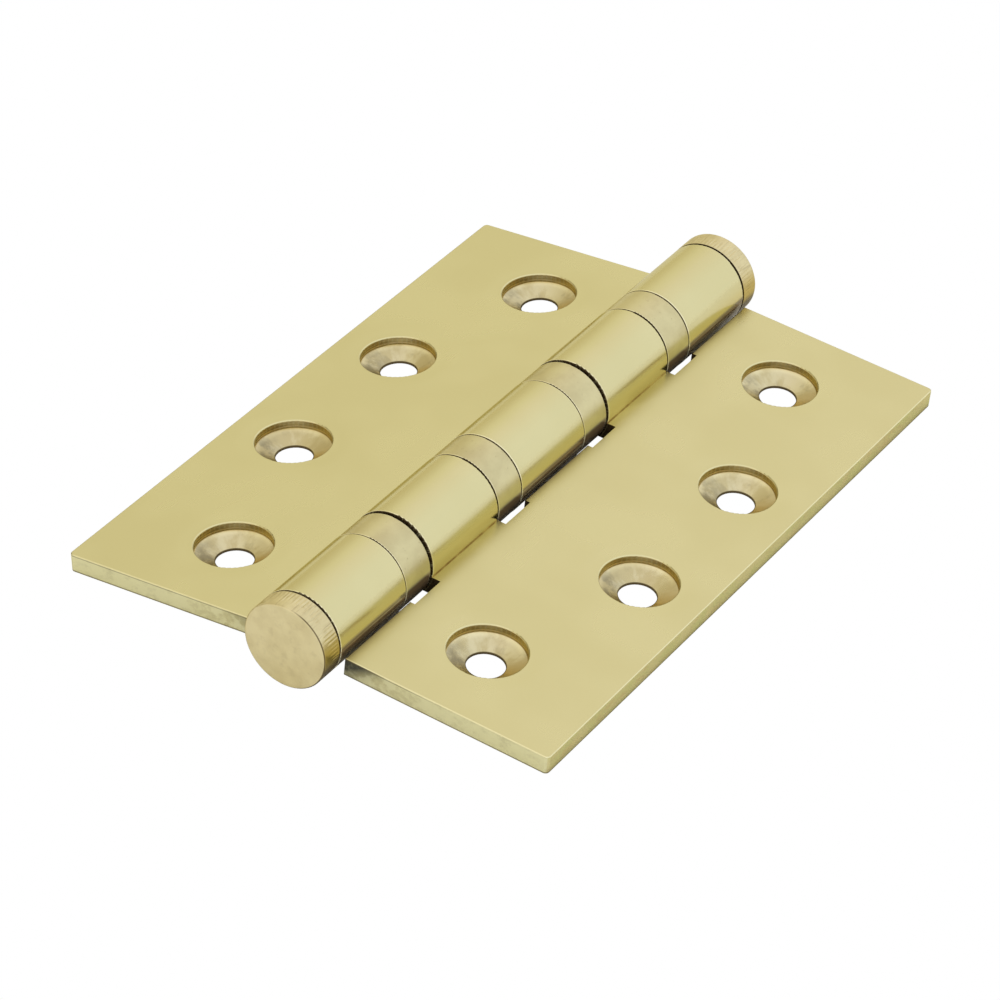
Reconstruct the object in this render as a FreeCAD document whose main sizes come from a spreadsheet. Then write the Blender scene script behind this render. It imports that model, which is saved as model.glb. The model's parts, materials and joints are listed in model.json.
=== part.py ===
import FreeCAD
import Part
import math
import os
import Sketcher

from FreeCAD import Placement, Rotation, Vector

# A 102 x 76 mm ball-bearing butt hinge of solid brass, lying open on a table.
#
# Frame: the origin is the middle of the pin, +Y runs along the pin towards the back end cap,
# +X points at the door leaf and +Z is up. The barrel and both outer leaf edges touch the table,
# so each leaf droops by a few degrees from its own flat frame, in which it is modelled.
#
# Driving dimensions: millimetres, except the plain counts.
DIMENSIONS = {
    # leaves
    "leaf_height": 102.0,
    "leaf_reach": 38.0,
    "leaf_thickness": 2.8,
    "face_drop": 0.95,
    "corner_radius": 0.65,
    "edge_radius": 0.17,
    "leaf_root": 4.6,
    "leaf_clear_edge": 6.82,
    "leaf_notch_edge": 7.65,
    # barrel
    "barrel_height": 102.5,
    "barrel_radius": 6.35,
    "knuckle_rounding": 0.2,
    "centre_knuckle": 16.0,
    "door_knuckle": 15.9,
    "seam": 0.06,
    "end_play": 0.35,
    # screw holes
    "screw_radius": 2.65,
    "sink_radius": 5.42,
    "sink_step": 1.25,
    "sink_lip": 0.3,
    "rim_radius": 0.2,
    "outer_screw_reach": 20.3,
    "outer_screw_height": 38.0,
    "inner_screw_reach": 28.15,
    "inner_screw_height": 12.95,
    # pin and end caps
    "pin_radius": 3.15,
    "pin_clearance": 0.05,
    "pin_rounding": 0.4,
    "cap_gap": 0.24,
    "cap_thickness": 3.37,
    "cap_socket": 2.6,
    "cap_rounding": 0.28,
    "cap_inner_rounding": 0.1,
    # ball bearings, measured from the end that sits on a frame-leaf knuckle
    "bearing_length": 5.8,
    "shell_radius": 6.3,
    "shell_wall": 0.9,
    "shell_length": 5.7,
    "shell_lip": 0.6,
    "shell_rounding": 0.15,
    "race_bore": 3.45,
    "race_clearance": 0.1,
    "race_gap_start": 2.4,
    "race_gap_end": 3.6,
    "ball_radius": 0.794,
    "ball_count": 12,
    "ball_clearance": 0.02,
    "pitch_radius": 4.3,
    "cage_half_thickness": 0.35,
    "cage_half_width": 1.0,
    "cage_hole_clearance": 0.06,
}

# Places along the pin, from the middle outwards, as expressions.
HALF_LEAF = "dim.leaf_height / 2"
HALF_BARREL = "dim.barrel_height / 2"
WINDOW_START = "(dim.centre_knuckle / 2)"
WINDOW = "(2 * dim.bearing_length + dim.door_knuckle + 4 * dim.seam + dim.end_play)"
WINDOW_END = f"({WINDOW_START} + {WINDOW})"
DOOR_KNUCKLE_START = f"({WINDOW_START} + ({WINDOW} - dim.door_knuckle) / 2)"
DOOR_KNUCKLE_END = f"({DOOR_KNUCKLE_START} + dim.door_knuckle)"

# Both plates are level with each other when the door leaf rests at the back of its end play, so they
# sit half of it behind the middle of the pin. The frame leaf's knuckles are that far forward on it.
PLATE_SHIFT = "(dim.end_play / 2)"

# How far in the leaf reaches between those places: up to its own knuckle, or clear of the barrel.
ROOT = "dim.leaf_root"
CLEAR = "dim.leaf_clear_edge"
NOTCH = "dim.leaf_notch_edge"
FRAME_STEPS = [ROOT, NOTCH, CLEAR, NOTCH, ROOT, NOTCH, CLEAR, NOTCH, ROOT]
DOOR_STEPS = [CLEAR, NOTCH, ROOT, NOTCH, CLEAR, NOTCH, ROOT, NOTCH, CLEAR]

TOP_FACE = "-dim.face_drop"
BOTTOM_FACE = "-(dim.face_drop + dim.leaf_thickness)"

# Lengths, areas or volumes closer than this count as equal.
TOLERANCE = 1e-4
# The part by which the volume cut for the cage pockets may differ from that of plain cylinders.
POCKET_TOLERANCE = 0.01
FULL_TURN = 360.0


def make_sheet(doc):
    sheet = doc.addObject("Spreadsheet::Sheet", "dim")
    for row, (alias, number) in enumerate(DIMENSIONS.items(), start=1):
        sheet.set(f"A{row}", alias)
        sheet.set(f"B{row}", str(number))
        sheet.setAlias(f"B{row}", alias)
    doc.recompute()
    return sheet


def value(expression):
    """The number that an expression over the sheet has now."""
    return float(FreeCAD.ActiveDocument.getObject("dim").evalExpression(expression))


def origin_feature(body, role):
    return next(item for item in body.Origin.OriginFeatures if item.Role == role)


def new_body(doc, label):
    body = doc.addObject("PartDesign::Body", label)
    body.Label = label
    return body


def new_sketch(body, name, role, offset=None):
    """A sketch on one of the body's origin planes, moved by expressions for its local x, y and z."""
    sketch = body.newObject("Sketcher::SketchObject", name)
    sketch.AttachmentSupport = (origin_feature(body, role), [""])
    sketch.MapMode = "FlatFace"
    for axis, expression in (offset or {}).items():
        sketch.setExpression(f"AttachmentOffset.Base.{axis}", expression)
    return sketch


def pin_to_origin(sketch, geometry, point, x, y):
    """Hold a sketch point at the place that two expressions give."""
    for kind, axis, expression in (("DistanceX", -2, x), ("DistanceY", -1, y)):
        number = value(expression)
        if abs(number) < TOLERANCE:
            sketch.addConstraint(Sketcher.Constraint("PointOnObject", geometry, point, axis))
            continue
        index = sketch.addConstraint(Sketcher.Constraint(kind, -1, 1, geometry, point, number))
        sketch.setExpression(f"Constraints[{index}]", expression)


def moved_towards(corner, other, distance):
    """A place at a distance from one corner along its side to another: the side lies along x or y."""
    x, y = corner[:2]
    across = value(other[0]) - value(x)
    upward = value(other[1]) - value(y)
    if abs(across) > abs(upward):
        return f"{x} {'+' if across > 0 else '-'} {distance}", y
    return x, f"{y} {'+' if upward > 0 else '-'} {distance}"


def quarter_arc(start, end, radius):
    """The anticlockwise quarter circle from start to end."""
    for centre in (Vector(start.x, end.y, 0), Vector(end.x, start.y, 0)):
        first = start - centre
        if first.cross(end - centre).z > 0:
            angle = math.atan2(first.y, first.x)
            circle = Part.Circle(centre, Vector(0, 0, 1), radius)
            return Part.ArcOfCircle(circle, angle, angle + math.pi / 2)
    raise RuntimeError("a rounded corner has no room")


def draw_outline(sketch, corners):
    """A closed outline. A corner is x and y as expressions, and a third one, its radius, rounds it."""
    places = [(value(corner[0]), value(corner[1])) for corner in corners]
    area = sum(a[0] * b[1] - b[0] * a[1] for a, b in zip(places, places[1:] + places[:1]))
    if area < 0:
        corners = corners[::-1]
    stops = []
    for i, corner in enumerate(corners):
        if len(corner) == 2:
            stops.append((*corner, None))
            continue
        radius = corner[2]
        stops.append((*moved_towards(corner, corners[i - 1], radius), radius))
        stops.append((*moved_towards(corner, corners[(i + 1) % len(corners)], radius), None))
    points = [Vector(value(x), value(y), 0) for x, y, _ in stops]
    first = sketch.GeometryCount
    count = len(points)
    for i, (_, _, radius) in enumerate(stops):
        end = points[(i + 1) % count]
        if radius is None:
            sketch.addGeometry(Part.LineSegment(points[i], end), False)
        else:
            sketch.addGeometry(quarter_arc(points[i], end, value(radius)), False)
    for i in range(count):
        joint = Sketcher.Constraint("Coincident", first + i, 2, first + (i + 1) % count, 1)
        sketch.addConstraint(joint)
    for i, (x, y, radius) in enumerate(stops):
        pin_to_origin(sketch, first + i, 1, x, y)
        if radius is not None:
            index = sketch.addConstraint(Sketcher.Constraint("Radius", first + i, value(radius)))
            sketch.setExpression(f"Constraints[{index}]", radius)


def draw_circle(sketch, x, y, radius):
    circle = Part.Circle(Vector(value(x), value(y), 0), Vector(0, 0, 1), value(radius))
    geometry = sketch.addGeometry(circle, False)
    pin_to_origin(sketch, geometry, 3, x, y)
    index = sketch.addConstraint(Sketcher.Constraint("Radius", geometry, value(radius)))
    sketch.setExpression(f"Constraints[{index}]", radius)


def pad(body, name, sketch, length):
    feature = body.newObject("PartDesign::Pad", name)
    feature.Profile = sketch
    feature.setExpression("Length", length)
    body.Document.recompute()
    return feature


def revolve(body, name, sketch):
    """Turn a profile once round the sketch's vertical axis, adding it to the body."""
    feature = body.newObject("PartDesign::Revolution", name)
    feature.Profile = sketch
    feature.ReferenceAxis = (sketch, ["V_Axis"])
    feature.Angle = FULL_TURN
    body.Document.recompute()
    return feature


def groove(body, name, sketch):
    """Turn a profile once round the sketch's vertical axis, cutting it from the body."""
    before = body.Shape.Volume
    feature = body.newObject("PartDesign::Groove", name)
    feature.Profile = sketch
    feature.ReferenceAxis = (sketch, ["V_Axis"])
    feature.Angle = FULL_TURN
    body.Document.recompute()
    if body.Shape.Volume > before - TOLERANCE:
        raise RuntimeError(f"{name} cuts nothing")
    return feature


def fillet(body, name, radius, chosen):
    """Round the edges of the body's last feature for which chosen(edge) is true."""
    base = body.Tip
    names = [f"Edge{i}" for i, edge in enumerate(base.Shape.Edges, start=1) if chosen(edge)]
    feature = body.newObject("PartDesign::Fillet", name)
    feature.Base = (base, names)
    feature.setExpression("Radius", radius)
    body.Document.recompute()
    return feature


def ring_profile(inner, outer, start, end, rounding=None):
    """A ring's section: radii across, places along, its outer corners rounded."""
    tail = () if rounding is None else (rounding,)
    return [(inner, start), (outer, start, *tail), (outer, end, *tail), (inner, end)]


def inner_breaks(forward):
    """Where a leaf's inner edge changes, from back to front, with its knuckles moved forward on it."""
    places = [WINDOW_END, DOOR_KNUCKLE_END, DOOR_KNUCKLE_START, WINDOW_START]
    places += [f"-{place}" for place in reversed(places)]
    return [f"({place} - {forward})" for place in places]


def leaf_outline(side, steps, breaks):
    """The leaf seen from above: a straight outer edge, and an inner edge stepped round the barrel."""
    corners = []
    for step, upper, lower in zip(steps, breaks, breaks[1:]):
        corners += [(f"{side} * {step}", upper), (f"{side} * {step}", lower)]
    merged = [corners[0]]
    for corner in corners[1:]:
        if corner != merged[-1]:
            merged.append(corner)
    outer = f"{side} * dim.leaf_reach"
    return merged + [(outer, breaks[-1]), (outer, breaks[0])]


def screw_hole(body, name, side, reach, height):
    """A stepped countersink, mirrored to the other half of the leaf."""
    offset = {"x": f"{side} * {reach}", "z": f"-({height})"}
    sketch = new_sketch(body, f"{name}_section", "XZ_Plane", offset)
    step_floor = f"{TOP_FACE} - dim.sink_step"
    lip_top = f"{BOTTOM_FACE} + dim.sink_lip"
    draw_outline(sketch, [
        ("0", TOP_FACE),
        ("dim.sink_radius", TOP_FACE),
        ("dim.sink_radius", step_floor),
        ("dim.screw_radius", lip_top),
        ("dim.screw_radius", BOTTOM_FACE),
        ("0", BOTTOM_FACE),
    ])
    cut = groove(body, name, sketch)
    before = body.Shape.Volume
    mirror = body.newObject("PartDesign::Mirrored", f"{name}_mirrored")
    mirror.Originals = [cut]
    mirror.MirrorPlane = (origin_feature(body, "XZ_Plane"), [""])
    body.Tip = mirror
    body.Document.recompute()
    if body.Shape.Volume > before - TOLERANCE:
        raise RuntimeError(f"{name} isn't mirrored")


def make_leaf(doc, label, side, steps, bore, forward):
    """One leaf with its knuckles, flat in its own frame: side is 1 to the right and -1 to the left."""
    inner = inner_breaks(forward)
    plate_breaks = [HALF_LEAF, *inner, f"-{HALF_LEAF}"]
    knuckle_breaks = [f"({HALF_BARREL} - {forward})", *inner, f"(-{HALF_BARREL} - {forward})"]

    body = new_body(doc, label)
    outline = new_sketch(body, f"{label}_outline", "XY_Plane", {"z": BOTTOM_FACE})
    draw_outline(outline, leaf_outline(side, steps, plate_breaks))
    pad(body, f"{label}_plate", outline, "dim.leaf_thickness")

    half = value(HALF_LEAF)
    reach = value("dim.leaf_reach")
    slot = value(CLEAR)
    corner = value("dim.corner_radius")

    def is_outer_corner(edge):
        box = edge.BoundBox
        return box.ZLength > TOLERANCE and min(abs(box.XMin), abs(box.XMax)) > reach - TOLERANCE

    def is_outer_rim(edge):
        box = edge.BoundBox
        at_end = min(abs(box.YMin), abs(box.YMax)) > half - corner - TOLERANCE
        at_side = min(abs(box.XMin), abs(box.XMax)) > reach - corner - TOLERANCE
        return box.ZLength < TOLERANCE and (at_end and box.YMin * box.YMax > 0 or at_side)

    def is_slot_rim(edge):
        box = edge.BoundBox
        level = box.XLength < TOLERANCE and box.ZLength < TOLERANCE
        return level and abs(abs(box.XMin) - slot) < TOLERANCE

    fillet(body, f"{label}_corners", "dim.corner_radius", is_outer_corner)
    fillet(body, f"{label}_rim", "dim.edge_radius", lambda edge: is_outer_rim(edge) or is_slot_rim(edge))

    for name, reach_cell, height_cell in (
        ("outer_screws", "dim.outer_screw_reach", "dim.outer_screw_height"),
        ("inner_screws", "dim.inner_screw_reach", "dim.inner_screw_height"),
    ):
        screw_hole(body, f"{label}_{name}", side, reach_cell, height_cell)

    top = value(TOP_FACE)
    sink = value("dim.sink_radius")

    def is_hole_rim(edge):
        if not isinstance(edge.Curve, Part.Circle) or edge.BoundBox.ZLength > TOLERANCE:
            return False
        centre = edge.Curve.Center
        return abs(centre.z - top) < TOLERANCE and abs(edge.Curve.Radius - sink) < TOLERANCE

    fillet(body, f"{label}_hole_rims", "dim.rim_radius", is_hole_rim)

    section = new_sketch(body, f"{label}_knuckle_section", "XY_Plane")
    for step, upper, lower in zip(steps, knuckle_breaks, knuckle_breaks[1:]):
        if step == ROOT:
            ring = ring_profile(bore, "dim.barrel_radius", lower, upper, "dim.knuckle_rounding")
            draw_outline(section, ring)
    revolve(body, f"{label}_knuckles", section)
    return body


def droop_angle():
    """How far a leaf tips down, so that the barrel and the leaf's lower outer edge both touch the table."""
    rounding = value("dim.edge_radius")
    radius = value("dim.barrel_radius") - rounding
    out = value("dim.leaf_reach") - rounding
    down = value("dim.face_drop + dim.leaf_thickness") - rounding
    return math.degrees(math.asin(radius / math.hypot(out, down)) - math.atan2(down, out))


def make_ring(doc, label, profiles):
    """A turned piece about the pin's axis, from one or more closed sections."""
    body = new_body(doc, label)
    section = new_sketch(body, f"{label}_section", "XY_Plane")
    for corners in profiles:
        draw_outline(section, corners)
    revolve(body, f"{label}_turned", section)
    return body


def make_pin(doc):
    end = f"({HALF_BARREL} + dim.cap_gap + dim.cap_socket)"
    profile = ring_profile("0", "dim.pin_radius", f"-{end}", end, "dim.pin_rounding")
    return make_ring(doc, "hinge_pin", [profile])


def make_cap(doc, label, end):
    """A button cap with a blind socket for the pin: end is 1 at the back and -1 at the front."""
    inner = f"{end} * ({HALF_BARREL} + dim.cap_gap)"
    floor = f"{end} * ({HALF_BARREL} + dim.cap_gap + dim.cap_socket)"
    outer = f"{end} * ({HALF_BARREL} + dim.cap_gap + dim.cap_thickness)"
    return make_ring(doc, label, [[
        ("dim.pin_radius", inner),
        ("dim.barrel_radius", inner, "dim.cap_inner_rounding"),
        ("dim.barrel_radius", outer, "dim.cap_rounding"),
        ("0", outer),
        ("0", floor),
        ("dim.pin_radius", floor),
    ]])


def along(start, way, distance):
    """A place in a bearing, from the end on the frame leaf's knuckle towards the door leaf's knuckle."""
    return f"({start} + {way} * ({distance}))"


def make_shell(doc, label, start, way):
    """The casing: a tube with an inward lip on which the fixed race rests."""
    outer = "dim.shell_radius"
    inner = "(dim.shell_radius - dim.shell_wall)"
    near = along(start, way, "0")
    far = along(start, way, "dim.shell_length")
    lip = along(start, way, "dim.shell_lip")
    return make_ring(doc, label, [[
        ("dim.race_bore", near),
        (outer, near, "dim.shell_rounding"),
        (outer, far, "dim.shell_rounding"),
        (inner, far),
        (inner, lip),
        ("dim.race_bore", lip),
    ]])


def make_race(doc, label, outer, near, far, centre):
    """A washer with a track for the balls."""
    body = make_ring(doc, label, [ring_profile("dim.race_bore", outer, near, far)])
    track = new_sketch(body, f"{label}_track_section", "XY_Plane")
    draw_circle(track, "dim.pitch_radius", centre, "dim.ball_radius + dim.ball_clearance")
    groove(body, f"{label}_track", track)
    return body


def make_cage(doc, label, centre):
    """A flat ring with a round pocket for each ball."""
    inner = "dim.pitch_radius - dim.cage_half_width"
    outer = "dim.pitch_radius + dim.cage_half_width"
    near = f"{centre} - dim.cage_half_thickness"
    far = f"{centre} + dim.cage_half_thickness"
    body = make_ring(doc, label, [ring_profile(inner, outer, near, far)])
    before = body.Shape.Volume
    hole = new_sketch(body, f"{label}_pocket_section", "XZ_Plane", {"z": f"-({centre})"})
    draw_circle(hole, "dim.pitch_radius", "0", "dim.ball_radius + dim.cage_hole_clearance")
    cut = body.newObject("PartDesign::Pocket", f"{label}_pocket")
    cut.Profile = hole
    cut.Midplane = True
    cut.setExpression("Length", "4 * dim.cage_half_thickness")
    doc.recompute()
    pattern = body.newObject("PartDesign::PolarPattern", f"{label}_pockets")
    pattern.Originals = [cut]
    pattern.Axis = (origin_feature(body, "Y_Axis"), [""])
    pattern.Angle = FULL_TURN
    pattern.setExpression("Occurrences", "dim.ball_count")
    body.Tip = pattern
    doc.recompute()
    pocket = math.pi * value("dim.ball_radius + dim.cage_hole_clearance") ** 2
    expected = pocket * value("2 * dim.cage_half_thickness") * value("dim.ball_count")
    if abs(before - body.Shape.Volume - expected) > POCKET_TOLERANCE * expected:
        raise RuntimeError(f"{label} has the wrong pockets")
    return body


def make_balls(doc, label, centre):
    """The ring of separate balls."""
    count = round(value("dim.ball_count"))
    balls = []
    for i in range(count):
        ball = doc.addObject("Part::Sphere", f"{label}_{i + 1}")
        ball.setExpression("Radius", "dim.ball_radius")
        turn = f"{FULL_TURN} * {i} / dim.ball_count"
        ball.setExpression("Placement.Base.x", f"dim.pitch_radius * cos({turn})")
        ball.setExpression("Placement.Base.y", centre)
        ball.setExpression("Placement.Base.z", f"-dim.pitch_radius * sin({turn})")
        balls.append(ball)
    group = doc.addObject("Part::Compound", label)
    group.Label = label
    group.Links = balls
    return group


def make_bearing(doc, number, start, way):
    """One thrust bearing: casing, two races, balls and their cage."""
    label = f"bearing_{number}"
    centre = along(start, way, "(dim.race_gap_start + dim.race_gap_end) / 2")
    inner = "(dim.shell_radius - dim.shell_wall)"
    return [
        make_shell(doc, f"{label}_shell", start, way),
        make_race(doc, f"{label}_fixed_race", inner, along(start, way, "dim.shell_lip"),
                  along(start, way, "dim.race_gap_start"), centre),
        make_race(doc, f"{label}_turning_race", f"{inner} - dim.race_clearance",
                  along(start, way, "dim.race_gap_end"),
                  along(start, way, "dim.bearing_length"), centre),
        make_balls(doc, f"{label}_balls", centre),
        make_cage(doc, f"{label}_cage", centre),
    ]


def check_document(doc, pieces):
    """Stop before anything is written if an object failed or a piece has no sound solid."""
    for item in doc.Objects:
        if any(state in item.State for state in ("Invalid", "Error")):
            raise RuntimeError(f"{item.Name} is {item.State}")
    for piece in pieces:
        if piece.Shape.isNull() or not piece.Shape.isValid() or piece.Shape.Volume <= 0:
            raise RuntimeError(f"{piece.Label} has no sound shape")


def main():
    doc = FreeCAD.newDocument("butt_hinge")
    make_sheet(doc)

    door_bore = "(dim.pin_radius + dim.pin_clearance)"
    frame_leaf = make_leaf(doc, "frame_leaf", -1, FRAME_STEPS, "dim.pin_radius", PLATE_SHIFT)
    door_leaf = make_leaf(doc, "door_leaf", 1, DOOR_STEPS, door_bore, "0")
    droop = droop_angle()
    middle = Vector(0, value(PLATE_SHIFT), 0)
    frame_leaf.Placement = Placement(middle, Rotation(Vector(0, 1, 0), -droop))
    door_leaf.Placement = Placement(middle, Rotation(Vector(0, 1, 0), droop))

    pieces = [frame_leaf, door_leaf, make_pin(doc)]
    pieces.append(make_cap(doc, "front_end_cap", -1))
    pieces.append(make_cap(doc, "back_end_cap", 1))

    # Each window between two frame-leaf knuckles holds a bearing at either end.
    bearings = [
        (f"-({WINDOW_END} - dim.seam)", 1),
        (f"-({WINDOW_START} + dim.seam)", -1),
        (f"({WINDOW_START} + dim.seam)", 1),
        (f"({WINDOW_END} - dim.seam)", -1),
    ]
    for number, (start, way) in enumerate(bearings, start=1):
        pieces += make_bearing(doc, number, start, way)

    doc.recompute()
    check_document(doc, pieces)
    os.makedirs("parts", exist_ok=True)
    for piece in pieces:
        piece.Shape.exportStep(f"parts/{piece.Label}.step")
    print(f"{len(pieces)} pieces written, leaf droop {droop:.3f} degrees")


main()
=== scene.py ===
import json
import math
import random

import bmesh
import bpy
from mathutils import Matrix, Vector


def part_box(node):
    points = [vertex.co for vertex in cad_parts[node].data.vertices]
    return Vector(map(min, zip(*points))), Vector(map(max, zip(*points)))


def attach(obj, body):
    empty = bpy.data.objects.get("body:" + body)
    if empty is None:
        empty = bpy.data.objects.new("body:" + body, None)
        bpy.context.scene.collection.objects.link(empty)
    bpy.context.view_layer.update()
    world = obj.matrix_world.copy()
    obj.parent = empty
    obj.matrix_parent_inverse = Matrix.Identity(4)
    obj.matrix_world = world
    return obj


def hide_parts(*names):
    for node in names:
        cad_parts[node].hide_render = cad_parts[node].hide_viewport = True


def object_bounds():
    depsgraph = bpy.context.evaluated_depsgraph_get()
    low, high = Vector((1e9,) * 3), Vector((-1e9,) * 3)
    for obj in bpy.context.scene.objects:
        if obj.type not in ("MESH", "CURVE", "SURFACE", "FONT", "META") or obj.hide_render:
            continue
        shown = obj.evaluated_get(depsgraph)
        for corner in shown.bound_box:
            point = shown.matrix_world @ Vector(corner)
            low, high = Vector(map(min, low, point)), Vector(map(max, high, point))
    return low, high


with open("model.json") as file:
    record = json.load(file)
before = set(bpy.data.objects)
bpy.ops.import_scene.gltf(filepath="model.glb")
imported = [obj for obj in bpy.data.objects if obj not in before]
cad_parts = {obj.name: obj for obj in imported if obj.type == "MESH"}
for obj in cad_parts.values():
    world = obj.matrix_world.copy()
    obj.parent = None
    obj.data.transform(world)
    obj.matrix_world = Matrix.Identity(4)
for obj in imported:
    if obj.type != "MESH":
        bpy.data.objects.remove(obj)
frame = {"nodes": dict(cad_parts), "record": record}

# A brass butt hinge lying open on a pale table. Sizes are in metres, in the frame of the packed
# model: the pin lies along Y, the door leaf is on the +X side, and Z is up.
CAD_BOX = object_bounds()
MM = 0.001

# The camera: where it stands round the hinge, what it aims at, and how far it is rolled.
VIEW_AZIMUTH = math.radians(31.51)
VIEW_ELEVATION = math.radians(35.46)
VIEW_ROLL = math.radians(2.27)
VIEW_DISTANCE = 611.20 * MM
VIEW_AIM = Vector((0.653, -4.374, -5.93)) * MM
SENSOR = 36.0
LENS = 160.54

# Where things lie on a leaf, measured in the leaf's own flat frame with the pin at its origin.
LEAF_TOP = -0.95 * MM
LEAF_THICKNESS = 2.80 * MM
LEAF_HALF_LENGTH = 51.0 * MM
BARREL_RADIUS = 6.35 * MM
HOLE_RADIUS = 2.65 * MM
SINK_RADIUS = 5.42 * MM
SINK_STEP = 1.25 * MM

# Linear colours of the metals.
LEAF_PALE = (0.732, 0.690, 0.400)
LEAF_WARM = (0.708, 0.664, 0.376)
LEAF_COOL = (0.690, 0.662, 0.388)
LEAF_OLIVE = (0.550, 0.500, 0.250)
EDGE_FRONT_LIT = (0.755, 0.735, 0.460)
EDGE_SIDE = (0.690, 0.635, 0.345)
EDGE_GREEN = (0.640, 0.625, 0.310)
EDGE_RED = (0.640, 0.520, 0.270)
EDGE_LOW_SHADE = (0.430, 0.390, 0.210)
EDGE_TARNISH_AND_SHADE = (0.160, 0.130, 0.070)
BARREL_LEAF_REFLECTION = (0.730, 0.610, 0.260)
GREY_STAIN = (0.070, 0.072, 0.062)
TARNISH = (0.300, 0.190, 0.085)
DEEP_SHADE = (0.055, 0.033, 0.013)
SLOT_SHADE_REFLECTION = (0.125, 0.075, 0.036)
RIM_HIGHLIGHT = (0.980, 0.930, 0.640)
BRASS_TINT = (0.82, 0.78, 0.58)
CONE_PALE = (0.960, 0.890, 0.590)
CONE_DULL = (0.790, 0.700, 0.405)
CONE_GOLD = (0.760, 0.610, 0.300)
CONE_GREY = (0.360, 0.330, 0.225)
STEP_OLIVE = (0.640, 0.510, 0.230)
STEP_BROWN = (0.400, 0.290, 0.110)
STEP_FOOT_REFLECTION = (0.960, 0.790, 0.460)
LIP_SHADE = (0.120, 0.090, 0.045)
SHELL_PALE = (0.700, 0.650, 0.390)
SHELL_DULL = (0.600, 0.545, 0.320)
CAGE_PALE = (0.660, 0.520, 0.220)
CAGE_DULL = (0.520, 0.400, 0.180)
CAP_PALE = (0.765, 0.690, 0.425)
CAP_DULL = (0.700, 0.622, 0.372)
CAP_LEAF_REFLECTION = (0.560, 0.430, 0.130)
CAP_LINE = (0.110, 0.080, 0.035)
SPECK = (0.330, 0.270, 0.140)
STEEL_BRIGHT = (0.560, 0.560, 0.570)
STEEL_DULL = (0.420, 0.420, 0.430)
WHITE = (0.93, 0.93, 0.93)

# The milled edge of an end cap.
TEETH = 72
STEPS_PER_TOOTH = 8
TOOTH_DEPTH = 0.080 * MM
CAP_ROUNDING = 0.28 * MM
CAP_INNER_ROUNDING = 0.10 * MM
TOOTH_FACE_RAMP = 0.60 * MM
TOOTH_INNER_RAMP = 0.20 * MM
TOOTH_INNER_MARGIN = 0.12 * MM
SHARP_ANGLE = math.radians(50)
MILLED_STEPS = 16
ARC_STEPS = 6

# The table's width, far beyond the picture.
FLOOR_SIZE = 4.0


# ---------------------------------------------------------------- node building

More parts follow.
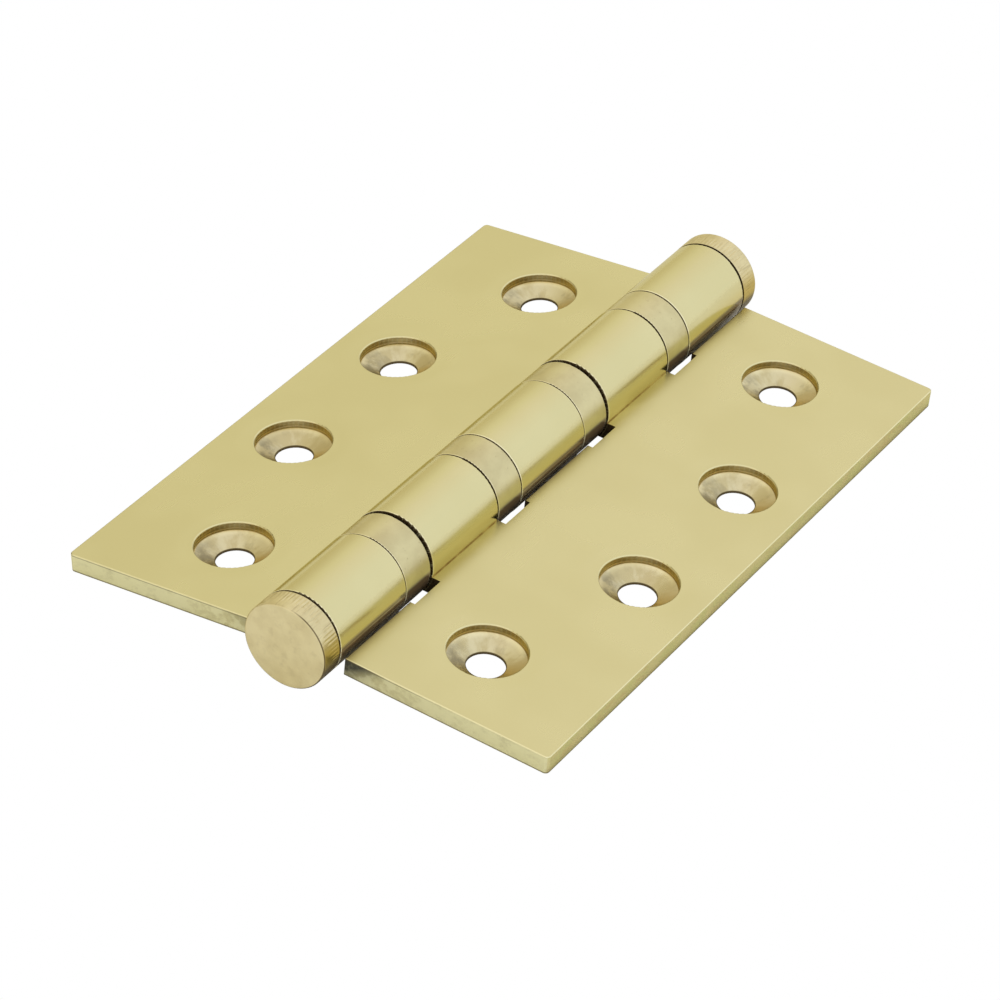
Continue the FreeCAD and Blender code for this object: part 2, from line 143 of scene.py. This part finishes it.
class Graph:
    """Short calls for building a material's node tree."""

    def __init__(self, name):
        self.material = bpy.data.materials.new(name)
        self.material.use_nodes = True
        self.tree = self.material.node_tree
        self.shader = self.tree.nodes["Principled BSDF"]

    def put(self, socket, source):
        """A source is another node's output, a number or a tuple."""
        if isinstance(source, bpy.types.NodeSocket):
            self.tree.links.new(source, socket)
        elif source is not None:
            if hasattr(socket.default_value, "__len__"):
                size = len(socket.default_value)
                source = tuple(source) + (1.0,) * (size - len(source))
            socket.default_value = source

    def node(self, kind, **settings):
        made = self.tree.nodes.new(kind)
        for key, setting in settings.items():
            setattr(made, key, setting)
        return made

    def math(self, operation, a, b=None, clamp=False):
        made = self.node("ShaderNodeMath", operation=operation, use_clamp=clamp)
        self.put(made.inputs[0], a)
        self.put(made.inputs[1], b)
        return made.outputs[0]

    def smooth(self, x, low, high, out_low=0.0, out_high=1.0):
        """A smooth step from out_low to out_high while x goes from low to high."""
        made = self.node("ShaderNodeMapRange", interpolation_type="SMOOTHSTEP")
        for index, source in enumerate((x, low, high, out_low, out_high)):
            self.put(made.inputs[index], source)
        return made.outputs[0]

    def mix(self, factor, a, b):
        made = self.node("ShaderNodeMix", data_type="RGBA")
        self.put(made.inputs[0], factor)
        self.put(made.inputs[6], a)
        self.put(made.inputs[7], b)
        return made.outputs[2]

    def combine(self, x, y, z=0.0):
        made = self.node("ShaderNodeCombineXYZ")
        for socket, source in zip(made.inputs, (x, y, z)):
            self.put(socket, source)
        return made.outputs[0]

    def separate(self, vector):
        made = self.node("ShaderNodeSeparateXYZ")
        self.put(made.inputs[0], vector)
        return made.outputs

    def noise(self, vector, scale, detail=3.0, roughness=0.55):
        made = self.node("ShaderNodeTexNoise")
        self.put(made.inputs["Vector"], vector)
        made.inputs["Scale"].default_value = scale
        made.inputs["Detail"].default_value = detail
        made.inputs["Roughness"].default_value = roughness
        return made.outputs[0]

    def product(self, first, *others):
        for other in others:
            first = self.math("MULTIPLY", first, other)
        return first

    def length(self, a, b):
        return self.math("SQRT", self.math("ADD", self.product(a, a), self.product(b, b)))

    def close(self, x, middle, near, far):
        """One where x is within near of the middle, falling to nothing at far from it."""
        return self.smooth(self.math("ABSOLUTE", self.math("SUBTRACT", x, middle)), near, far, 1.0, 0.0)

    def stretched(self, *axes, detail=3.0, roughness=0.55):
        """Noise over two or three coordinates, each given with its own rate."""
        scaled = [self.math("MULTIPLY", source, rate) for source, rate in axes]
        return self.noise(self.combine(*scaled), 1.0, detail, roughness)

    def position(self):
        return self.node("ShaderNodeTexCoord").outputs["Object"]

    def normal(self):
        """The surface's direction in the object's own frame, so that it holds at every pose."""
        return self.node("ShaderNodeTexCoord").outputs["Normal"]

    def turned(self, vector, angle, location=(0, 0, 0), kind="POINT"):
        """A vector turned about Y, then moved."""
        made = self.node("ShaderNodeMapping", vector_type=kind)
        self.put(made.inputs["Vector"], vector)
        made.inputs["Rotation"].default_value = (0, angle, 0)
        if kind == "POINT":
            made.inputs["Location"].default_value = location
        return made.outputs[0]

    def bump(self, height, distance, strength=1.0, normal=None):
        made = self.node("ShaderNodeBump")
        made.inputs["Strength"].default_value = strength
        made.inputs["Distance"].default_value = distance
        self.put(made.inputs["Height"], height)
        self.put(made.inputs["Normal"], normal)
        return made.outputs[0]

    def bare(self, painted_shade):
        """How metallic the surface is: less so where shade is painted in."""
        return self.math("SUBTRACT", 1.0, self.product(painted_shade, 0.75))

    def finish(self, color, roughness, normal=None, metallic=1.0, tint=None):
        self.put(self.shader.inputs["Base Color"], color)
        self.put(self.shader.inputs["Roughness"], roughness)
        self.put(self.shader.inputs["Normal"], normal)
        self.put(self.shader.inputs["Metallic"], metallic)
        if tint:
            self.put(self.shader.inputs["Specular Tint"], tint)
        return self.material


def around_pin(g, position):
    """Direction about the pin as a cosine and a sine, distance along it and distance from it."""
    x, y, z = g.separate(position)
    radius = g.length(x, z)
    return g.math("DIVIDE", x, radius), g.math("DIVIDE", z, radius), y, radius


def ends_and_rims(g, facing):
    """Masks for a ring's flat ends and for the rounded rims beside them, from |facing along the pin|."""
    ends = g.smooth(facing, 0.55, 0.75)
    rims = g.product(g.smooth(facing, 0.03, 0.12), g.smooth(facing, 0.50, 0.65, 1.0, 0.0))
    return ends, rims


# ---------------------------------------------------------------- materials

def hole_colour(g, across, along, centre, depth):
    """Colour in a screw hole: an olive step with a painted reflection of the cone as a light line near its
    foot, a turned cone smudged with polish, and a lip darkened with painted shade.
    """
    radius = g.length(across, along)
    dir_x = g.math("DIVIDE", across, radius)
    dir_v = g.math("DIVIDE", along, radius)
    ripple = g.math("ADD", g.product(centre, 700.0), g.product(radius, 220.0))
    sectors = g.noise(g.combine(g.product(dir_x, 1.5), g.product(dir_v, 1.5), ripple), 1.0, 4.0, 0.6)
    patches = g.stretched((across, 420.0), (along, 420.0), (centre, 700.0), detail=4.0, roughness=0.65)
    toward_grey = g.math("ADD", g.product(dir_x, -0.64), g.product(dir_v, -0.77))
    toward_gold = g.math("ADD", g.product(dir_x, 0.98), g.product(dir_v, -0.17))
    grey = g.product(g.smooth(toward_grey, 0.15, 0.95), g.smooth(patches, 0.36, 0.60, 0.20, 0.90))
    gold = g.smooth(toward_gold, 0.45, 0.98, 0.0, 0.80)

    color = g.mix(g.smooth(sectors, 0.40, 0.60), CONE_PALE, CONE_DULL)
    color = g.mix(g.smooth(patches, 0.52, 0.72, 0.0, 0.35), color, CONE_GREY)
    color = g.mix(gold, color, CONE_GOLD)
    color = g.mix(grey, color, CONE_GREY)
    step = g.smooth(radius, SINK_RADIUS - 0.14 * MM, SINK_RADIUS - 0.05 * MM)
    turned = g.stretched((dir_x, 1.3), (dir_v, 1.3), (depth, 6500.0), detail=2.0)
    step_tone = g.mix(g.smooth(turned, 0.38, 0.62), STEP_BROWN, STEP_OLIVE)
    # A painted reflection of the cone: a light line near the foot of the step.
    foot = g.close(depth, SINK_STEP - 0.26 * MM, 0.05 * MM, 0.14 * MM)
    step_tone = g.mix(g.product(foot, 0.85), step_tone, STEP_FOOT_REFLECTION)
    color = g.mix(step, color, step_tone)
    # The lip is darkened with painted shade.
    lip = g.smooth(radius, HOLE_RADIUS + 0.05 * MM, HOLE_RADIUS + 0.14 * MM, 1.0, 0.0)
    return g.mix(lip, color, LIP_SHADE)


def edge_colour(g, side, u, v, n, depth, is_side):
    """Colour of a leaf's cut edges: ends painted paler than the sides as painted light, mottled along the
    side, stained by the barrel, with painted shade low on the sides and along the bottom rim.
    """
    soft = g.stretched((u, 260.0), (v, 260.0), (n, 420.0), detail=4.0, roughness=0.6)
    patches = g.stretched((u, 700.0), (v, 300.0), (n, 900.0), detail=4.0, roughness=0.6)
    side_tone = g.mix(g.smooth(soft, 0.40, 0.60), EDGE_GREEN, EDGE_SIDE)
    side_tone = g.mix(g.smooth(patches, 0.50, 0.68, 0.0, 0.6), side_tone, EDGE_RED)
    # The sides darken towards the bottom: painted shade.
    side_tone = g.mix(g.smooth(depth, LEAF_THICKNESS * 0.55, LEAF_THICKNESS, 0.0, 0.7), side_tone, EDGE_LOW_SHADE)
    # The ends are a lighter tone than the sides: painted light.
    front_tone = g.mix(g.smooth(patches, 0.48, 0.75, 0.0, 0.22), EDGE_FRONT_LIT, EDGE_TARNISH_AND_SHADE)
    inward = g.smooth(u, 8.0 * MM, 24.0 * MM, 0.62, 0.0)
    front_tone = g.mix(g.product(inward, g.smooth(patches, 0.42, 0.60)), front_tone, LEAF_OLIVE)
    slant = g.math("ADD", u, g.product(depth, 1.9))
    stain = g.smooth(slant, 7.6 * MM, 15.0 * MM, 1.3 if side > 0 else 0.45, 0.0)
    stain = g.product(stain, g.smooth(patches, 0.30, 0.55, 0.70, 1.0))
    front_tone = g.mix(g.math("MINIMUM", stain, 0.97), front_tone, GREY_STAIN)
    reach = 1.0 if side < 0 else g.smooth(u, 14.0 * MM, 24.0 * MM, 1.0, 0.15)
    under_rim = g.product(g.close(depth, 0.24 * MM, 0.04 * MM, 0.10 * MM), reach, 0.55)
    front_tone = g.mix(under_rim, front_tone, EDGE_TARNISH_AND_SHADE)
    # Painted shade along the bottom rim.
    bottom = g.smooth(depth, LEAF_THICKNESS - 0.36 * MM, LEAF_THICKNESS - 0.22 * MM, 0.0, 0.75)
    return g.mix(bottom, g.mix(is_side, front_tone, side_tone), EDGE_TARNISH_AND_SHADE)


def leaf_material(name, side, seed):
    """Polished brass of one leaf with its knuckles, drawn in the leaf's own flat frame."""
    mounts = {m["name"]: m for m in frame["record"]["mounts"]}
    prefix = "door" if side > 0 else "frame"
    face = Vector(mounts[f"{prefix}_screw_1"]["axis"])
    droop = math.asin(abs(face.x))
    flatten = Matrix.Rotation(-side * droop, 3, "Y")
    screws = [flatten @ Vector(mounts[f"{prefix}_screw_{i}"]["pos_m"]) for i in (1, 2, 3, 4)]
    shift = sum(s.y for s in screws) / len(screws)
    outer_screw = (abs(screws[3].x), screws[3].y - shift)
    inner_screw = (abs(screws[2].x), screws[2].y - shift)

    g = Graph(name)
    position = g.position()
    x, v, n = g.separate(g.turned(position, -side * droop, (0, -shift, 0)))
    u = g.math("ABSOLUTE", x)
    half_v = g.math("ABSOLUTE", v)
    depth = g.math("SUBTRACT", LEAF_TOP, n)
    facing_x, facing_v, facing_n = g.separate(g.turned(g.normal(), -side * droop, kind="VECTOR"))
    level = g.math("ABSOLUTE", facing_n)
    endwise = g.math("ABSOLUTE", facing_v)
    is_side = g.smooth(g.math("ABSOLUTE", facing_x), 0.5, 0.8)

    # Masks: the barrel, the leaf's cut and rounded edges, and the insides of the screw holes.
    cosine, sine, along, radius = around_pin(g, position)
    barrel = g.smooth(radius, BARREL_RADIUS + 0.05 * MM, BARREL_RADIUS + 0.20 * MM, 1.0, 0.0)
    plate = g.math("SUBTRACT", 1.0, barrel)
    is_outer = g.math("GREATER_THAN", half_v, (outer_screw[1] + inner_screw[1]) / 2)
    centre_u = g.math("ADD", g.product(is_outer, outer_screw[0] - inner_screw[0]), inner_screw[0])
    centre_v = g.math("ADD", g.product(is_outer, outer_screw[1] - inner_screw[1]), inner_screw[1])
    which_end = g.math("SIGN", v)
    hole_x = g.product(g.math("SUBTRACT", u, centre_u), side)
    hole_v = g.product(g.math("SUBTRACT", half_v, centre_v), which_end)
    hole_radius = g.length(hole_x, hole_v)
    not_back = g.smooth(facing_n, -0.60, -0.30)
    in_hole = g.smooth(hole_radius, SINK_RADIUS - 0.02 * MM, SINK_RADIUS + 0.04 * MM, 1.0, 0.0)
    inside = g.product(in_hole, not_back)
    outside = g.math("SUBTRACT", 1.0, inside)
    upright = g.smooth(level, 0.25, 0.60, 1.0, 0.0)
    edge = g.product(upright, plate, outside)
    clear_of_holes = g.smooth(hole_radius, SINK_RADIUS + 0.25 * MM, SINK_RADIUS + 0.40 * MM, 0.35, 1.0)
    slanted = (g.smooth(level, 0.45, 0.70), g.smooth(level, 0.93, 0.99, 1.0, 0.0))
    rounded = g.product(*slanted, plate, clear_of_holes)

    # Colour of the faces: broad soft mottling, and a painted olive shade on the face along the barrel.
    seeded = g.combine(x, v, seed)
    broad = g.noise(seeded, 55.0, 2.0)
    fine = g.noise(seeded, 420.0, 4.0, 0.6)
    color = g.mix(g.smooth(broad, 0.35, 0.65), LEAF_PALE, LEAF_WARM)
    color = g.mix(g.smooth(fine, 0.45, 0.80, 0.0, 0.15), color, LEAF_COOL)
    barrel_shade = g.smooth(u, BARREL_RADIUS, BARREL_RADIUS + 3.2 * MM, 0.70 if side > 0 else 0.35, 0.0)
    brushed = g.smooth(g.stretched((x, 260.0), (v, 90.0), (seed, 1.0), detail=4.0), 0.30, 0.56)
    color = g.mix(g.product(barrel_shade, brushed, plate), color, LEAF_OLIVE)
    centre = g.math("ADD", g.product(which_end, centre_v), centre_u)
    color = g.mix(inside, color, hole_colour(g, hole_x, hole_v, centre, depth))
    color = g.mix(edge, color, edge_colour(g, side, u, v, n, depth, is_side))

    # The slot's edges are darkened with painted shade. Upper rims carry a painted highlight, rims low down,
    # at the back and on the left a painted shade.
    short_of_end = g.smooth(half_v, LEAF_HALF_LENGTH - 0.8 * MM, LEAF_HALF_LENGTH - 0.4 * MM, 1.0, 0.0)
    in_slot = g.math("MAXIMUM", short_of_end, is_side)
    slot_edge = g.product(g.smooth(u, 7.9 * MM, 8.2 * MM, 1.0, 0.0), upright, plate, in_slot)
    color = g.mix(slot_edge, color, DEEP_SHADE)
    lower = g.smooth(depth, LEAF_THICKNESS * 0.4, LEAF_THICKNESS * 0.6)
    averted = g.math("MAXIMUM", g.smooth(facing_v, 0.10, 0.30), g.smooth(facing_x, -0.30, -0.10, 1.0, 0.0))
    shaded_rim = g.math("MAXIMUM", lower, averted)
    rim_tone = g.mix(shaded_rim, RIM_HIGHLIGHT, EDGE_TARNISH_AND_SHADE)
    color = g.mix(g.product(rounded, g.math("ADD", g.product(shaded_rim, 0.35), 0.50)), color, rim_tone)

    # Knuckles: a painted brown reflection of the shaded slot where they look into the other leaf's slot,
    # painted highlights on the rims and painted shade on the ends.
    far_side = g.smooth(g.product(x, side), -3.0 * MM, -2.0 * MM, 1.0, 0.0)
    in_shade = g.product(g.smooth(n, -0.6 * MM, 0.1 * MM, 1.0, 0.0), g.smooth(n, -4.6 * MM, -3.2 * MM))
    # A painted golden reflection of the leaf lies low on the barrel.
    leaf_reflection = g.product(g.smooth(sine, 0.05, 0.40, 1.0, 0.0), barrel, 0.55)
    color = g.mix(leaf_reflection, color, BARREL_LEAF_REFLECTION)
    shade = g.product(far_side, in_shade, barrel, 0.94)
    color = g.mix(shade, color, SLOT_SHADE_REFLECTION)
    ends, rims = ends_and_rims(g, endwise)
    color = g.mix(g.product(rims, barrel, 0.9), color, RIM_HIGHLIGHT)
    color = g.mix(g.product(ends, barrel), color, DEEP_SHADE)
    # The brass is less metallic where shade is painted.
    painted_shade = g.math("MAXIMUM", g.product(ends, barrel), g.math("MAXIMUM", shade, slot_edge))

    # The corner where the leaf's face meets its knuckles holds a thin patchy line of tarnish.
    corner = g.length(g.math("SUBTRACT", u, BARREL_RADIUS - 0.07 * MM), depth)
    patchy = g.smooth(g.stretched((v, 170.0), (seed, 1.0)), 0.36, 0.62, 0.15, 1.0)
    color = g.mix(g.product(g.smooth(corner, 0.06 * MM, 0.26 * MM, 0.75, 0.0), patchy), color, TARNISH)

    # Polishing lines: along the leaf on the plate, along the pin on the barrel, around in the holes.
    plate_lines = g.stretched((x, 1900.0), (v, 45.0), (n, 1900.0))
    barrel_lines = g.stretched((cosine, 26.0), (sine, 26.0), (along, 45.0), detail=4.0, roughness=0.6)
    streak = g.product(g.smooth(barrel_lines, 0.50, 0.72, 0.0, 0.55), barrel)
    color = g.mix(streak, color, LEAF_COOL)
    turned = g.product(g.stretched((hole_radius, 5200.0), (depth, 5200.0)), 0.35)
    edge_lines = g.stretched((x, 60.0), (v, 60.0), (n, 4200.0))
    lines = g.mix(barrel, g.product(plate_lines, 0.35), barrel_lines)
    lines = g.mix(inside, lines, turned)
    lines = g.mix(edge, lines, edge_lines)

    roughness = g.smooth(broad, 0.3, 0.7, 0.26, 0.29)
    roughness = g.math("SUBTRACT", roughness, g.product(barrel, 0.10))
    roughness = g.math("ADD", roughness, g.product(edge, 0.10))
    roughness = g.math("ADD", roughness, g.product(lines, 0.04))

    # The buff has pulled the metal down a little round each hole.
    dished = g.smooth(hole_radius, 5.6 * MM, 8.2 * MM, -1.0, 0.0)
    shape = g.bump(g.product(dished, outside, not_back), 0.05 * MM)
    sway = g.bump(g.noise(seeded, 90.0, 1.0), 0.05 * MM, 1.0, shape)
    return g.finish(color, roughness, g.bump(lines, 0.004 * MM, 1.0, sway), g.bare(painted_shade), BRASS_TINT)


def ring_brass(name, pale, dull, roughness):
    """Brass turned about the pin: soft stains, small specks, painted highlights on the rims, painted shade
    on the ends, and a painted brown reflection of the shaded slot low down.
    """
    g = Graph(name)
    position = g.position()
    cosine, sine, along, radius = around_pin(g, position)
    height = g.separate(position)[2]
    ends, rims = ends_and_rims(g, g.math("ABSOLUTE", g.separate(g.normal())[1]))
    stains = g.stretched((cosine, 1.6), (sine, 1.6), (along, 190.0), detail=4.0)
    blots = g.noise(position, 420.0, 5.0, 0.65)
    specks = g.noise(position, 1500.0, 2.0, 0.7)
    color = g.mix(g.smooth(stains, 0.35, 0.70), pale, dull)
    color = g.mix(g.smooth(blots, 0.50, 0.72, 0.0, 0.35), color, dull)
    color = g.mix(g.smooth(specks, 0.62, 0.80, 0.0, 0.40), color, SPECK)
    # Low down the ring carries a painted brown reflection of the shaded slot.
    under_middle = g.smooth(height, -0.4 * MM, 0.4 * MM, 1.0, 0.0)
    low = g.product(under_middle, g.smooth(height, -4.8 * MM, -3.4 * MM), 0.94)
    color = g.mix(low, color, SLOT_SHADE_REFLECTION)
    # Painted highlights on the rims and painted shade on the ends.
    color = g.mix(g.product(rims, 0.9), color, RIM_HIGHLIGHT)
    color = g.mix(ends, color, DEEP_SHADE)
    rings = g.stretched((cosine, 0.8), (along, 5200.0), (radius, 5200.0))
    rough = g.math("ADD", g.product(stains, 0.12), roughness)
    metallic = g.bare(g.math("MAXIMUM", low, ends))
    return g.finish(color, rough, g.bump(rings, 0.003 * MM), metallic, BRASS_TINT)


def cap_material(name, face_from):
    """Brass of the end caps: a soft mottled face, a thin dark line round it and a dull milled edge.

    Ends nearer the middle of the hinge than face_from are the caps' inner sides, darkened with painted
    shade.
    """
    g = Graph(name)
    position = g.position()
    cosine, sine, along, _ = around_pin(g, position)
    facing = g.math("ABSOLUTE", g.separate(g.normal())[1])
    is_face = g.smooth(facing, 0.80, 0.97)
    clouds = g.noise(position, 330.0, 3.0, 0.6)
    grain = g.noise(position, 900.0, 3.0, 0.6)
    color = g.mix(g.smooth(clouds, 0.35, 0.65), CAP_PALE, CAP_DULL)
    color = g.mix(g.smooth(grain, 0.52, 0.72, 0.0, 0.13), color, SPECK)

    # The milled edge carries a painted golden reflection of the leaves low down on both sides, and painted
    # shade below.
    is_edge = g.math("SUBTRACT", 1.0, is_face)
    leaf_reflection = g.product(is_edge, g.smooth(sine, 0.10, 0.60, 1.0, 0.0))
    color = g.mix(g.product(leaf_reflection, 0.9), color, CAP_LEAF_REFLECTION)
    below = g.product(is_edge, g.smooth(sine, -0.30, 0.0, 1.0, 0.0), 0.95)
    color = g.mix(below, color, DEEP_SHADE)
    scuffs = g.stretched((cosine, 22.0), (sine, 22.0), (along, 260.0), detail=3.0, roughness=0.65)
    color = g.mix(g.product(is_edge, g.smooth(scuffs, 0.52, 0.72, 0.0, 0.45)), color, SPECK)

    # A thin dark line lies in the rounding between the face and the milled edge, darkest on the right.
    corner = g.product(g.smooth(facing, 0.30, 0.55), g.smooth(facing, 0.80, 0.95, 1.0, 0.0))
    outer = g.math("GREATER_THAN", g.math("ABSOLUTE", along), face_from)
    lined = g.smooth(cosine, 0.10, 0.50, 0.10, 0.90)
    color = g.mix(g.product(corner, outer, lined), color, CAP_LINE)
    # The caps' inner sides are darkened with painted shade.
    inner = g.math("SUBTRACT", 1.0, outer)
    dark_end = g.product(g.smooth(facing, 0.55, 0.85), inner)
    color = g.mix(dark_end, color, DEEP_SHADE)
    height = g.mix(is_face, scuffs, grain)
    rough = g.math("ADD", g.product(clouds, 0.10), 0.28)
    metallic = g.bare(g.math("MAXIMUM", dark_end, below))
    return g.finish(color, rough, g.bump(height, 0.005 * MM), metallic, BRASS_TINT)


def steel(name, roughness):
    """Ground steel, with fine rings about the pin."""
    g = Graph(name)
    cosine, _, along, radius = around_pin(g, g.position())
    rings = g.stretched((cosine, 1.0), (along, 4000.0), (radius, 4000.0))
    color = g.mix(g.smooth(rings, 0.3, 0.7), STEEL_BRIGHT, STEEL_DULL)
    return g.finish(color, g.math("ADD", g.product(rings, 0.08), roughness), g.bump(rings, 0.002 * MM))


def dress(node, material):
    """Give a CAD node its material."""
    for slot in frame["nodes"][node].material_slots:
        slot.material = material


# ---------------------------------------------------------------- end caps

def arc(centre_r, centre_y, radius, start, end):
    """Points of a quarter circle in the section: radius from the pin's axis, and place along it."""
    turns = [start + (end - start) * i / ARC_STEPS for i in range(ARC_STEPS + 1)]
    return [(centre_r + radius * math.cos(t), centre_y + radius * math.sin(t)) for t in turns]


def cap_section(outer_r, socket_r, length, depth):
    """The cap's outline from the middle of its face to the floor of its socket, lengths from the face."""
    rim = outer_r - CAP_ROUNDING
    inner_rim = outer_r - CAP_INNER_ROUNDING
    quarter = math.pi / 2
    face = [(rim * share, 0.0) for share in (0.25, 0.5, 0.75, 0.92)]
    straight = length - CAP_ROUNDING - CAP_INNER_ROUNDING
    milled = [CAP_ROUNDING + straight * i / MILLED_STEPS for i in range(1, MILLED_STEPS)]
    return (face + arc(rim, CAP_ROUNDING, CAP_ROUNDING, -quarter, 0)
            + [(outer_r, y) for y in milled]
            + arc(inner_rim, length - CAP_INNER_ROUNDING, CAP_INNER_ROUNDING, 0, quarter)
            + [(socket_r, length), (socket_r, length - depth)])


def milled_cap(node, material):
    """An end cap with a milled edge, in place of the plain CAD one."""
    low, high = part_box(node)
    pin_low, pin_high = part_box("hinge_pin")
    outward = 1 if low.y > 0 else -1
    face_y = high.y if outward > 0 else low.y
    pin_end = pin_high.y if outward > 0 else pin_low.y
    length = high.y - low.y
    depth = length - abs(face_y - pin_end)
    section = cap_section(high.x, pin_high.x, length, depth)

    dice = random.Random(17 if outward > 0 else 5)
    teeth = [(dice.uniform(0.30, 1.0), dice.uniform(0.45, 1.30) * MM) for _ in range(TEETH)]
    count = TEETH * STEPS_PER_TOOTH
    mesh = bpy.data.meshes.new(f"milled_{node}")
    bm = bmesh.new()
    rings = []
    for r, y in section:
        ring = []
        for i in range(count):
            tooth, step = divmod(i, STEPS_PER_TOOTH)
            strength, clear_of_face = teeth[tooth]
            valley = 1 - abs(math.sin(math.pi * step / STEPS_PER_TOOTH))
            reach = min((y - clear_of_face) / TOOTH_FACE_RAMP,
                        (length - TOOTH_INNER_MARGIN - y) / TOOTH_INNER_RAMP)
            cut = TOOTH_DEPTH * strength * valley * min(max(reach, 0.0), 1.0)
            if r < high.x - TOOTH_DEPTH:
                cut = 0.0
            turn = 2 * math.pi * i / count
            place = ((r - cut) * math.cos(turn), face_y - outward * y, (r - cut) * math.sin(turn))
            ring.append(bm.verts.new(place))
        rings.append(ring)
    middle = bm.verts.new((0, face_y, 0))
    floor = bm.verts.new((0, face_y - outward * (length - depth), 0))
    for i in range(count):
        j = (i + 1) % count
        bm.faces.new((middle, rings[0][i], rings[0][j]))
        bm.faces.new((floor, rings[-1][j], rings[-1][i]))
        for a, b in zip(rings, rings[1:]):
            bm.faces.new((a[i], b[i], b[j], a[j]))
    bmesh.ops.recalc_face_normals(bm, faces=bm.faces)
    bm.to_mesh(mesh)
    bm.free()
    mesh.shade_smooth()
    mesh.set_sharp_from_angle(angle=SHARP_ANGLE)
    mesh.materials.append(material)
    cap = bpy.data.objects.new(f"milled_{node}", mesh)
    bpy.context.scene.collection.objects.link(cap)
    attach(cap, "frame_leaf")
    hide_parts(node)
    return cap


# ---------------------------------------------------------------- stage, lights and camera

def add_floor():
    """A white table that the camera sees fully lit, while the hinge reflects its shaded surface."""
    bpy.ops.mesh.primitive_plane_add(size=FLOOR_SIZE, location=(0, 0, CAD_BOX[0].z))
    floor = bpy.context.object
    floor.name = "floor"
    g = Graph("floor_white")
    g.finish(WHITE, 0.9, metallic=0.0)
    glow = g.node("ShaderNodeEmission")
    glow.inputs["Color"].default_value = (1, 1, 1, 1)
    both = g.node("ShaderNodeMixShader")
    seen = g.node("ShaderNodeLightPath")
    g.put(both.inputs[0], seen.outputs["Is Camera Ray"])
    g.put(both.inputs[1], g.shader.outputs[0])
    g.put(both.inputs[2], glow.outputs[0])
    g.put(g.tree.nodes["Material Output"].inputs["Surface"], both.outputs[0])
    floor.data.materials.append(g.material)


def add_sky():
    """A studio tent of white cloth: brightest to the right and in front, dimmer and warmer on the left."""
    world = bpy.data.worlds.new("studio")
    world.use_nodes = True
    tree = world.node_tree
    background = tree.nodes["Background"]
    coordinate = tree.nodes.new("ShaderNodeTexCoord")
    separate = tree.nodes.new("ShaderNodeSeparateXYZ")
    across = tree.nodes.new("ShaderNodeMapRange")
    across.inputs["From Min"].default_value = -1.0
    across.inputs["From Max"].default_value = 1.0
    ramp = tree.nodes.new("ShaderNodeValToRGB")
    stops = ramp.color_ramp.elements
    stops[0].position, stops[0].color = 0.125, (0.735, 0.66, 0.47, 1)
    stops[1].position, stops[1].color = 0.675, (0.965, 0.960, 0.945, 1)
    stops.new(0.24).color = (0.900, 0.845, 0.680, 1)
    stops.new(0.40).color = (0.955, 0.900, 0.830, 1)
    front = tree.nodes.new("ShaderNodeMapRange")
    front.interpolation_type = "SMOOTHSTEP"
    for name, number in (("From Min", -0.40), ("From Max", -0.85), ("To Min", 1.0), ("To Max", 1.25)):
        front.inputs[name].default_value = number
    tree.links.new(coordinate.outputs["Generated"], separate.inputs[0])
    tree.links.new(separate.outputs[0], across.inputs["Value"])
    tree.links.new(across.outputs[0], ramp.inputs[0])
    tree.links.new(separate.outputs[1], front.inputs["Value"])
    path = tree.nodes.new("ShaderNodeLightPath")
    color = tree.nodes.new("ShaderNodeMix")
    color.data_type = "RGBA"
    strength = tree.nodes.new("ShaderNodeMix")
    tree.links.new(path.outputs["Is Camera Ray"], color.inputs[0])
    tree.links.new(ramp.outputs[0], color.inputs[6])
    color.inputs[7].default_value = (1, 1, 1, 1)
    tree.links.new(path.outputs["Is Camera Ray"], strength.inputs[0])
    tree.links.new(front.outputs[0], strength.inputs[2])
    strength.inputs[3].default_value = 1.0
    tree.links.new(color.outputs[2], background.inputs[0])
    tree.links.new(strength.outputs[0], background.inputs[1])
    bpy.context.scene.world = world


def add_camera():
    """The camera, turned so that the hinge lies in the picture as it was photographed."""
    back = Vector((
        math.sin(VIEW_AZIMUTH) * math.cos(VIEW_ELEVATION),
        -math.cos(VIEW_AZIMUTH) * math.cos(VIEW_ELEVATION),
        math.sin(VIEW_ELEVATION),
    ))
    level = Vector((math.cos(VIEW_AZIMUTH), math.sin(VIEW_AZIMUTH), 0))
    upright = back.cross(level)
    right = level * math.cos(VIEW_ROLL) + upright * math.sin(VIEW_ROLL)
    data = bpy.data.cameras.new("camera")
    data.sensor_width = SENSOR
    data.lens = LENS
    camera = bpy.data.objects.new("camera", data)
    place = Matrix((right, back.cross(right), back)).transposed().to_4x4()
    place.translation = VIEW_AIM + back * VIEW_DISTANCE
    camera.matrix_world = place
    bpy.context.scene.collection.objects.link(camera)
    bpy.context.scene.camera = camera


# ---------------------------------------------------------------- the scene

dress("frame_leaf", leaf_material("frame_leaf_brass", -1, 1.0))
dress("door_leaf", leaf_material("door_leaf_brass", 1, 5.0))
cap_low, cap_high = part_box("back_end_cap")
cap_brass = cap_material("cap_brass", (cap_low.y + cap_high.y) / 2)
shell_brass = ring_brass("shell_brass", SHELL_PALE, SHELL_DULL, 0.24)
cage_brass = ring_brass("cage_brass", CAGE_PALE, CAGE_DULL, 0.34)
ground_steel = steel("ground_steel", 0.16)
for name in frame["nodes"]:
    if name.endswith("_cap"):
        milled_cap(name, cap_brass)
    elif name.endswith("_shell"):
        dress(name, shell_brass)
    elif name.endswith("_cage"):
        dress(name, cage_brass)
    elif name.endswith(("_race", "_balls", "_pin")):
        dress(name, ground_steel)

add_floor()
add_sky()
add_camera()
bpy.context.scene.view_settings.view_transform = "Standard"
